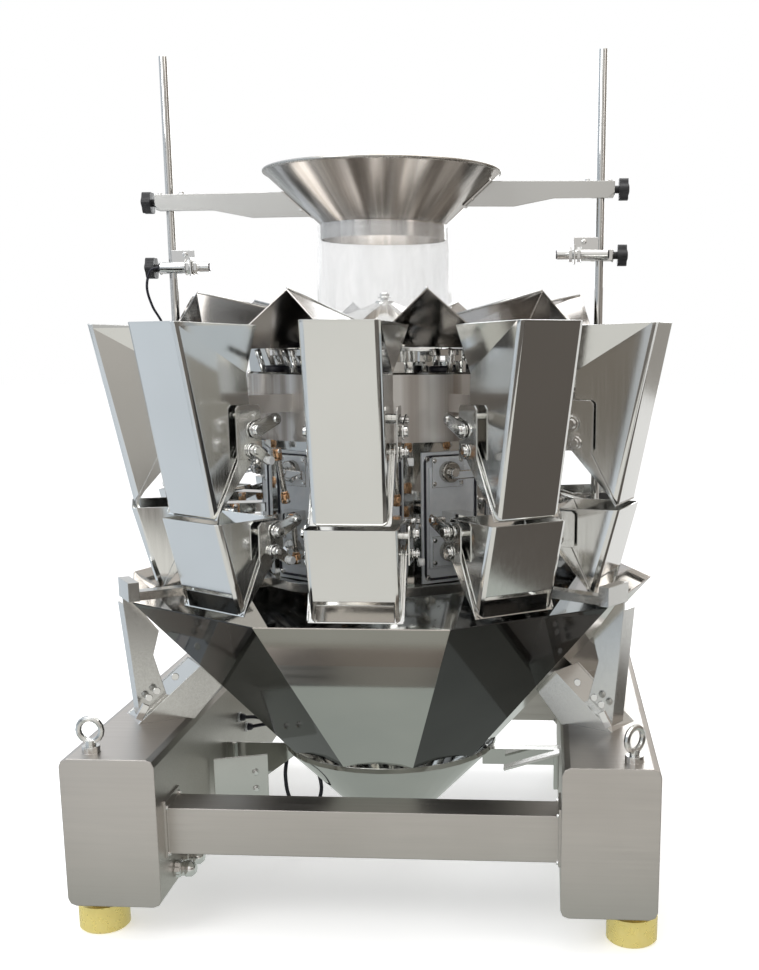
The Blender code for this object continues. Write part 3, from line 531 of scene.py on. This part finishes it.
def cable_ends():
    """Strain reliefs and glands where the cables enter the beam and the drive housing."""
    glands = Piece()
    wall = -BEAM_INNER_X
    sleeve = [(0, 0.0085), (0.7, 0.0078), (1, 0.0052)]
    for y, z in CORD_GLANDS:
        glands.rod((wall, y, z), (wall + 0.006, y, z), 0.0115, GREY_PLASTIC, 6)
        glands.lathe((wall + 0.005, y, z), (wall + 0.017, y, z), sleeve, RUBBER)
    dome = [(0, 0.0150), (0.6, 0.0145), (1, 0.0080)]
    z = PANEL_GLAND_Z
    for y in PANEL_GLAND_ROW:
        glands.rod((wall, y, z), (wall + 0.012, y, z), 0.0165, CHROME, 6)
        glands.rod((wall + 0.011, y, z), (wall + 0.030, y, z), 0.0135, CHROME, 24)
        glands.lathe((wall + 0.020, y, z), (wall + 0.038, y, z), dome, CHROME, 24)
    glands.done("cable_glands", "frame", "cable_black")
    entry = Piece()
    relief = [(0, 0.007), (0.6, 0.0062), (1, 0.0036)]
    entry.lathe((-0.2415, 0.022, 0.842), (-0.262, 0.022, 0.845), relief, RUBBER)
    entry.done("sensor_cable_entry", "frame", "cable_black")


# Details on each head


def drive_details():
    """The drive panel on the housing, its shafts and cranks, and the rods that pull the two gates."""
    piece = Piece()
    face = HOUSING_APOTHEM
    piece.block((face + 0.0015, 0, PANEL_MIDDLE_Z), (0.003, 0.118, 0.240), PANEL)
    seal_path = []
    for y, z, first in ((0.044, 0.818, 0), (-0.044, 0.818, 90), (-0.044, 0.614, 180), (0.044, 0.614, 270)):
        for step in range(4):
            angle = math.radians(first + 30 * step)
            seal_path.append((face + 0.0045, y + 0.010 * math.cos(angle), z + 0.010 * math.sin(angle)))
    piece.sweep(seal_path, 0.0024, RUBBER, 8, closed=True)
    piece.block((face + 0.0040, -0.006, PANEL_MIDDLE_Z), (0.005, 0.080, 0.186), PANEL, bevel=0.002)
    for z in DRIVE_SHAFT_LEVELS:
        piece.block((face + 0.0070, -0.008, z), (0.004, 0.066, 0.056), BRUSHED)
    for y in (-0.049, 0.049):
        for z in (0.607, 0.824):
            piece.bolt((face + 0.003, y, z), (1, 0, 0), 0.0048, CHROME)
    for z in DRIVE_SHAFT_LEVELS:
        piece.rod((face + 0.004, -0.008, z), (face + 0.024, -0.008, z), 0.019, BRUSHED, 28)
        piece.rod((face + 0.022, -0.008, z), (face + 0.036, -0.008, z), 0.008, CHROME)
        piece.block((face + 0.030, 0.014, z - 0.004), (0.006, 0.052, 0.016), BRUSHED, bevel=0.002)
        for y in (-0.036, 0.020):
            for lift in (-0.026, 0.026):
                piece.bolt((face + 0.0085, y, z + lift * 0.8), (1, 0, 0), 0.0036, CHROME)
        piece.rod((face + 0.028, 0.034, z - 0.004), (face + 0.064, 0.046, z - 0.010), 0.0045, CHROME)
    feed_rod = ((0.339, 0.057, 0.846), (0.322, 0.057, 0.757))
    weigh_rod = ((0.303, 0.054, 0.728), (0.298, 0.054, 0.645))
    for top, foot in (feed_rod, weigh_rod):
        top, foot = Vector(top), Vector(foot)
        piece.rod(top, foot, 0.0052, BRUSHED)
        for near, far in ((top, foot), (foot, top)):
            line = (far - near).normalized()
            piece.rod(near - line * 0.004, near + line * 0.013, 0.0078, COPPER)
            piece.rod(near + line * 0.013, near + line * 0.017, 0.0066, COPPER, 6)
            piece.rod(near + Vector((0, -0.010, 0)), near + Vector((0, 0.008, 0)), 0.0042, CHROME)
    return piece


def hanger_details():
    """Shaft bosses, hook plates and latch buttons on both sides of a feed and a weigh hopper."""
    piece = Piece()
    for pivot, half_width in ((FEED_PIVOT, FEED_HALF_WIDTH), (WEIGH_PIVOT, WEIGH_HALF_WIDTH)):
        x, z = pivot
        for sign in (-1, 1):
            outer = sign * (half_width + 0.0135)
            piece.rod((x, outer, z), (x, outer + sign * 0.0025, z), 0.0125, CHROME, 24)
            piece.rod((x, outer, z), (x, outer + sign * 0.0060, z), 0.0075, CHROME, 24)
            hook = obround((x - 0.006, z + 0.034), (x - 0.050, z + 0.050), 0.014, 0.011)
            piece.plate(hook, sign * (half_width + 0.0175), 0.003, LEGS)
            latch_x, latch_z = x - 0.006, z + 0.034
            latch_end = (latch_x, outer + sign * 0.012, latch_z)
            piece.rod((latch_x, outer, latch_z), latch_end, 0.009, CHROME, 24)
            pin_x, pin_z = x - 0.050, z + 0.050
            pin_start = (pin_x, outer - sign * 0.02, pin_z)
            pin_end = (pin_x, outer + sign * 0.009, pin_z)
            piece.rod(pin_start, pin_end, 0.006, CHROME)
    return piece


def gate_lever(pivot, half_width):
    """The crank plate on a gate's shaft, with its roller."""
    x, z = pivot
    piece = Piece()
    side = half_width + 0.0225
    piece.rod((x, half_width + 0.015, z), (x, side + 0.004, z), 0.0062, CHROME)
    piece.plate(obround((x, z), (x - 0.026, z - 0.018), 0.0105, 0.0085), side, 0.003, LEGS)
    roller_x, roller_z = x - 0.026, z - 0.018
    roller_end = (roller_x, side + 0.009, roller_z)
    piece.rod((roller_x, side - 0.003, roller_z), roller_end, 0.0070, GREY_PLASTIC)
    return piece


def all_heads():
    for i in range(HEADS):
        azimuth = HEAD_STEP * i
        number = f"{i + 1:02d}"
        for base, make in (("drive_linkage", drive_details), ("hanger_fittings", hanger_details)):
            make().done(f"{base}_{number}", "frame", "nickel", heading(azimuth))
        gate_lever(FEED_PIVOT, FEED_HALF_WIDTH).done(
            f"feed_gate_lever_{number}", f"feed_gate_{number}", "nickel", heading(azimuth)
        )
        gate_lever(WEIGH_PIVOT, WEIGH_HALF_WIDTH).done(
            f"weigh_gate_lever_{number}", f"weigh_gate_{number}", "nickel", heading(azimuth)
        )


def pan_fittings():
    """Folded lips along the ridges between the pans, and the vibrators under them."""
    lips = Piece()
    vibrators = Piece()
    for i in range(HEADS):
        ridge = heading(HEAD_STEP * (i + 0.5))
        start, end = Vector((0.138, 0, 1.0725)), Vector((0.376, 0, 1.1172))
        lips.sweep([ridge @ start, ridge @ ((start + end) / 2), ridge @ end], 0.0022, LEGS, 10)
        turn = heading(HEAD_STEP * i)
        for reach in (0.185, 0.235):
            foot, top = turn @ Vector((reach, 0, 0.976)), turn @ Vector((reach + 0.012, 0, 1.018))
            vibrators.rod(foot, top, 0.006, CHROME)
        vibrators.block(turn @ Vector((0.215, 0, 1.012)), (0.012, 0.050, 0.012), DARK_STEEL, turn)
        vibrators.rod(turn @ Vector((0.210, 0, 0.976)), turn @ Vector((0.210, 0, 0.988)), 0.024, RUBBER, 28)
    lips.done("pan_ridge_lips", "frame", "polished_steel")
    vibrators.done("pan_vibrators", "frame", "nickel")


def top_details():
    """The infeed funnel's rolled rim, its arm bolts, the clear sleeve and the cone's bolt."""
    rim = Piece()
    circle = []
    for i in range(72):
        angle = math.tau * i / 72
        circle.append((RIM_RADIUS * math.cos(angle), RIM_RADIUS * math.sin(angle), RIM_Z))
    rim.sweep(circle, 0.0034, BRUSHED, 12, closed=True)
    rim.done("infeed_rolled_rim", "infeed", "polished_steel")
    bolts = Piece()
    for sign, lift in ((-1, 0.0), (1, ARM_RIGHT_LIFT)):
        for reach, z in ((0.386, 1.309), (0.428, 1.307)):
            bolts.bolt((sign * reach, -0.006, z + lift - 0.001), (0, 0, 1), 0.0045, CHROME)
        slope = Vector((0.7, 0, 0.71))
        for z in (1.277, 1.297):
            reach = 0.1194 + 1.05 * (z + lift - 1.2485) + 0.0035
            for y in (-0.018, 0.012):
                bolts.bolt((sign * reach, y, z + lift), (sign * slope.z, 0, -slope.x), 0.0035, CHROME)
    bolts.done("infeed_arm_bolts", "infeed", "nickel")

    shape = bmesh.new()
    sides, levels = 96, 14
    rows = []
    for level in range(levels + 1):
        share = level / levels
        row = []
        for i in range(sides):
            angle = math.tau * i / sides
            folds = 0.0012 * math.sin(11 * angle + 2.0 * share) + 0.0008 * math.sin(17 * angle - 3.1 * share)
            radius = 0.1285 - 0.0035 * share + folds * math.sin(math.pi * min(1.0, 1.4 - 1.4 * share) / 2)
            z = SLEEVE_LOW_Z + (SLEEVE_HIGH_Z - SLEEVE_LOW_Z) * share
            row.append(shape.verts.new((radius * math.cos(angle), radius * math.sin(angle), z)))
        rows.append(row)
    for near, far in zip(rows, rows[1:]):
        for i in range(sides):
            beside = (i + 1) % sides
            shape.faces.new((near[i], near[beside], far[beside], far[i])).smooth = True
    mesh = bpy.data.meshes.new("sleeve_film")
    shape.to_mesh(mesh)
    shape.free()
    mesh.materials.append(FILM)
    film = bpy.data.objects.new("sleeve_film", mesh)
    bpy.context.scene.collection.objects.link(film)
    wall = film.modifiers.new("wall", "SOLIDIFY")
    wall.thickness = 0.0005
    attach(film, "infeed")
    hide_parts("clear_sleeve")

    cone = Piece()
    cone.bolt((0, 0, 1.1135), (0, 0, 1), 0.010, CHROME)
    cone.done("cone_bolt", "cone", "nickel")


def sensor_details():
    """Thread rings, lock nuts and lens of the two sensor barrels, and each knob's washer and cap."""
    for side, sign, z in (("left", -1, SENSOR_Z), ("right", 1, SENSOR_Z + SENSOR_RIGHT_LIFT)):
        piece = Piece()
        for i in range(22):
            x = sign * (POST_X - 0.030 - 0.0016 * i)
            ring = [(0, 0.0088), (0.5, 0.0094), (1, 0.0088)]
            piece.lathe((x, SENSOR_Y, z), (x - sign * 0.0012, SENSOR_Y, z), ring, CHROME)
        lens_start = (sign * (POST_X - 0.080), SENSOR_Y, z)
        lens_end = (sign * (POST_X - 0.0825), SENSOR_Y, z)
        piece.rod(lens_start, lens_end, 0.0082, DARK_STEEL, 24)
        for x in (POST_X - 0.040, POST_X - 0.055):
            nut_start = (sign * (x + 0.0035), SENSOR_Y, z)
            nut_end = (sign * (x + 0.0050), SENSOR_Y, z)
            piece.rod(nut_start, nut_end, 0.0155, CHROME, 24)
        tail_start = (sign * (POST_X + 0.012), SENSOR_Y, z)
        tail_end = (sign * (POST_X + 0.017), SENSOR_Y, z)
        piece.rod(tail_start, tail_end, 0.0075, KNOB)
        piece.bolt((sign * (POST_X - 0.030), -0.019, z + 0.024), (0, -1, 0), 0.004, CHROME)
        near, far = sign * (POST_X + 0.022), sign * (POST_X + 0.0262)
        piece.rod((near, 0, z), (far, 0, z), 0.0125, CHROME, 24)
        piece.done(f"{side}_sensor_details", f"{side}_sensor_carriage", "nickel")
        arm_z = ARM_Z + (ARM_RIGHT_LIFT if sign == 1 else 0.0)
        washer = Piece()
        washer.rod((near, 0, arm_z), (far, 0, arm_z), 0.0125, CHROME, 24)
        washer.done(f"{side}_arm_washer", "infeed", "nickel")
        for kind, level in (("arm", arm_z), ("sensor", z)):
            cap = Piece()
            face = sign * KNOB_FACE_X
            dome = [(0, 0.0125), (0.5, 0.0115), (1, 0.006)]
            cap.lathe((face - sign * 0.001, 0, level), (face + sign * 0.0025, 0, level), dome, KNOB, 28)
            cap.done(f"{side}_{kind}_knob_cap", f"{side}_{kind}_knob", "knob_black")


def post_details():
    """Nuts and a lock collar on each of the two posts."""
    piece = Piece()
    for sign in (-1, 1):
        x = sign * POST_X
        for z in (0.640, 0.835):
            piece.rod((x, 0, z + 0.008), (x, 0, z + 0.017), 0.0125, CHROME, 6)
            piece.rod((x, 0, z - 0.008), (x, 0, z - 0.017), 0.0125, CHROME, 6)
        piece.rod((x, 0, 0.870), (x, 0, 0.884), 0.0145, CHROME, 28)
    piece.done("post_nuts", "frame", "nickel")


def base_details():
    """Bolts and tabs on the four legs, foot nuts, the funnel's brackets and the cross beams' bolts."""
    for x_sign in (-1, 1):
        for y_sign in (-1, 1):
            piece = Piece()
            for x, z in ((0.445, 0.417), (0.481, 0.394), (0.4965, 0.383), (0.420, 0.352), (0.470, 0.352)):
                piece.bolt((x, -0.0005, z), (0, -1, 0), 0.0058, CHROME)
            piece.plate([(0.500, 0.372), (0.516, 0.345), (0.528, 0.352), (0.512, 0.379)], 0.014, 0.006, LEGS)
            piece.bolt((0.527, -0.012, 0.600), (1, 0, 0.2), 0.0050, CHROME)
            mirror = Matrix.Diagonal((x_sign, y_sign, 1, 1))
            side = "left" if x_sign < 0 else "right"
            # The heading is a rear one, so these names have front and rear the wrong way round.
            end = "rear" if y_sign < 0 else "front"
            piece.done(f"leg_bolts_{end}_{side}", "frame", "nickel", mirror @ heading(math.pi - LEG_AZIMUTH))
    for end, y in (("front", -0.415), ("rear", 0.455)):
        for side, sign in (("left", -1), ("right", 1)):
            nuts = Piece()
            x = sign * FOOT_X
            nuts.rod((x, y, 0.0505), (x, y, 0.0600), 0.0225, YELLOW_ZINC, 6)
            nuts.rod((x, y, 0.0600), (x, y, 0.0640), 0.0260, YELLOW_ZINC, 28)
            nuts.done(f"foot_nut_{end}_{side}", "frame", "zinc_yellow")
    brackets = Piece()
    brackets.block((-0.290, -0.115, 0.165), (0.108, 0.004, 0.110), LEGS, Matrix.Rotation(0.35, 4, "Z"))
    for x, z in ((-0.262, 0.150), (-0.262, 0.185)):
        brackets.bolt((x, -0.108, z), (0.34, -0.94, 0), 0.0055, CHROME)
    brackets.block((0.292, -0.060, 0.205), (0.118, 0.028, 0.005), LEGS, Matrix.Rotation(-0.30, 4, "Y"))
    brackets.done("funnel_brackets", "frame", "nickel")
    flanges = Piece()
    for y_low in (-0.4346, 0.402):
        for sign in (-1, 1):
            for y in (y_low - 0.003 + 0.001, y_low + 0.073 + 0.002):
                for z in (0.150, 0.236):
                    flanges.bolt((sign * 0.343, y, z - 0.002), (-sign, 0, 0), 0.0040, CHROME)
    flanges.done("cross_beam_bolts", "frame", "nickel")


# Studio


def show_to_reflections_only(made, material):
    """A staged card that the steel mirrors and nothing else sees."""
    made.data.materials.append(material)
    made.visible_camera = False
    made.visible_diffuse = False
    made.visible_shadow = False


def ramped(tree, value, stops):
    """The colour at a value from -1 to 1, from stops of (position from 0 to 1, colour)."""
    lifted = tree.nodes.new("ShaderNodeMath")
    lifted.operation = "MULTIPLY_ADD"
    lifted.inputs[1].default_value = 0.5
    lifted.inputs[2].default_value = 0.5
    tree.links.new(value, lifted.inputs[0])
    ramp = tree.nodes.new("ShaderNodeValToRGB")
    for _ in range(len(stops) - 2):
        ramp.color_ramp.elements.new(0.5)
    for element, (position, tone) in zip(ramp.color_ramp.elements, stops):
        element.position = position
        element.color = colour(*tone)
    tree.links.new(lifted.outputs[0], ramp.inputs["Fac"])
    return ramp.outputs["Color"]


def studio():
    """A pale floor, soft lights, and glowing planes and dark cards that only the steel reflects."""
    white, tree, shader = new_material("studio_floor")
    shader.inputs["Base Color"].default_value = colour(0.86, 0.86, 0.86)
    shader.inputs["Roughness"].default_value = 0.9
    shader.inputs["Emission Color"].default_value = colour(1.0, 1.0, 1.0)
    shader.inputs["Emission Strength"].default_value = 0.45
    bpy.ops.mesh.primitive_plane_add(size=60, location=(0, 0, -0.0005))
    floor = bpy.context.object
    floor.name = "floor"
    floor.data.materials.append(white)
    floor.visible_glossy = False

    # What the steel mirrors in place of the floor: (name, centre, size, tone)
    glows = (
        ("glow_front", (0.0, -4.0, -0.02), (2.4, 6.4), (0.66, 0.655, 0.62)),
        ("glow_left", (-4.2, -2.0, -0.02), (6.0, 12.0), (0.56, 0.61, 0.66)),
        ("glow_right", (4.2, -3.75, -0.02), (6.0, 8.5), (0.075, 0.066, 0.058)),
        ("glow_right_rear", (4.2, 3.5, -0.02), (6.0, 6.0), (0.74, 0.74, 0.73)),
        ("glow_under", (0.0, 0.6, -0.02), (2.4, 2.8), (0.42, 0.45, 0.42)),
        ("glow_rear", (0.0, 5.0, -0.02), (2.4, 6.0), (0.60, 0.60, 0.59)),
    )
    for name, centre, size, tone in glows:
        glow, tree, shader = new_material(name)
        shader.inputs["Base Color"].default_value = colour(0, 0, 0)
        shader.inputs["Emission Color"].default_value = colour(*tone)
        shader.inputs["Emission Strength"].default_value = 1.0
        bpy.ops.mesh.primitive_plane_add(size=1, location=centre)
        made = bpy.context.object
        made.name = name
        made.scale = (*size, 1)
        show_to_reflections_only(made, glow)

    world = bpy.data.worlds.new("studio")
    bpy.context.scene.world = world
    world.use_nodes = True
    tree = world.node_tree
    background = tree.nodes["Background"]
    place = tree.nodes.new("ShaderNodeTexCoord")
    parts = tree.nodes.new("ShaderNodeSeparateXYZ")
    tree.links.new(place.outputs["Generated"], parts.inputs["Vector"])
    height_stops = (
        (0.0, (0.42, 0.43, 0.42)),
        (0.47, (0.50, 0.50, 0.49)),
        (0.53, (0.62, 0.61, 0.60)),
        (0.72, (1.0, 1.0, 1.0)),
    )
    side_stops = (
        (0.10, (0.78, 0.86, 0.95)),
        (0.42, (1, 1, 1)),
        (0.62, (0.85, 0.82, 0.78)),
        (0.90, (0.40, 0.36, 0.32)),
    )
    both = tree.nodes.new("ShaderNodeMix")
    both.data_type = "RGBA"
    both.blend_type = "MULTIPLY"
    both.inputs["Factor"].default_value = 1.0
    tree.links.new(ramped(tree, parts.outputs["Z"], height_stops), both.inputs["A"])
    tree.links.new(ramped(tree, parts.outputs["X"], side_stops), both.inputs["B"])
    seen = tree.nodes.new("ShaderNodeLightPath")
    shown = tree.nodes.new("ShaderNodeMix")
    shown.data_type = "RGBA"
    shown.inputs["B"].default_value = colour(1.0, 1.0, 1.0)
    tree.links.new(seen.outputs["Is Camera Ray"], shown.inputs["Factor"])
    tree.links.new(both.outputs["Result"], shown.inputs["A"])
    tree.links.new(shown.outputs["Result"], background.inputs["Color"])
    background.inputs["Strength"].default_value = 1.0

    card, tree, shader = new_material("dark_card")
    shader.inputs["Base Color"].default_value = colour(0.012, 0.012, 0.013)
    shader.inputs["Roughness"].default_value = 0.9
    cards = (
        ((1.55, -1.55, 1.0), (0.6, 0.02, 2.0)),
        ((-1.70, -1.50, 1.0), (0.30, 0.02, 2.0)),
    )
    for i, (centre, size) in enumerate(cards):
        bpy.ops.mesh.primitive_cube_add(size=1, location=centre)
        made = bpy.context.object
        made.name = f"dark_card_{i}"
        made.scale = size
        show_to_reflections_only(made, card)

    lights = (
        ("key", (-1.9, -2.4, 2.6), (0.0, 0.0, 0.8), 1.6, 30, (1.0, 0.99, 0.97)),
        ("fill", (2.4, -1.8, 2.0), (0.0, 0.0, 0.7), 1.2, 7, (1.0, 0.97, 0.94)),
        ("top", (0.0, 0.2, 3.4), (0.0, 0.0, 0.6), 2.2, 34, (1.0, 1.0, 1.0)),
        ("rear", (0.4, 2.8, 2.0), (0.0, 0.0, 0.8), 1.6, 26, (0.95, 0.98, 1.0)),
    )
    for name, at, target, size, power, tone in lights:
        light = bpy.data.lights.new(name, "AREA")
        light.energy = power
        light.size = size
        light.color = tone
        made = bpy.data.objects.new(name, light)
        bpy.context.scene.collection.objects.link(made)
        made.location = at
        made.rotation_euler = (Vector(target) - Vector(at)).to_track_quat("-Z", "Y").to_euler()
    bpy.context.scene.view_settings.view_transform = "Standard"


def camera():
    """The photograph's viewpoint: a little right of straight ahead, looking slightly down."""
    ahead = Vector(CAMERA_AIM).normalized()
    level = ahead.cross(Vector((0, 0, 1))).normalized()
    upright = level.cross(ahead)
    right = level * math.cos(CAMERA_ROLL) + upright * math.sin(CAMERA_ROLL)
    up = -level * math.sin(CAMERA_ROLL) + upright * math.cos(CAMERA_ROLL)
    turned = Matrix((right, up, -ahead)).transposed().to_4x4()
    turned.translation = Vector(CAMERA_PLACE)
    lens = bpy.data.cameras.new("camera")
    lens.lens = CAMERA_LENS_MM
    lens.sensor_width = CAMERA_SENSOR_MM
    lens.shift_x, lens.shift_y = CAMERA_SHIFT
    made = bpy.data.objects.new("camera", lens)
    bpy.context.scene.collection.objects.link(made)
    made.matrix_world = turned
    bpy.context.scene.camera = made


camera()
cord("sensor_cord", "sensor_cable", SENSOR_CABLE_ROUTE, 0.0025)
cord("body_cord", "body_cable", BODY_CABLE_ROUTE, 0.004)
cable_ends()
finish_cad()
all_heads()
pan_fittings()
top_details()
sensor_details()
post_details()
base_details()
studio()
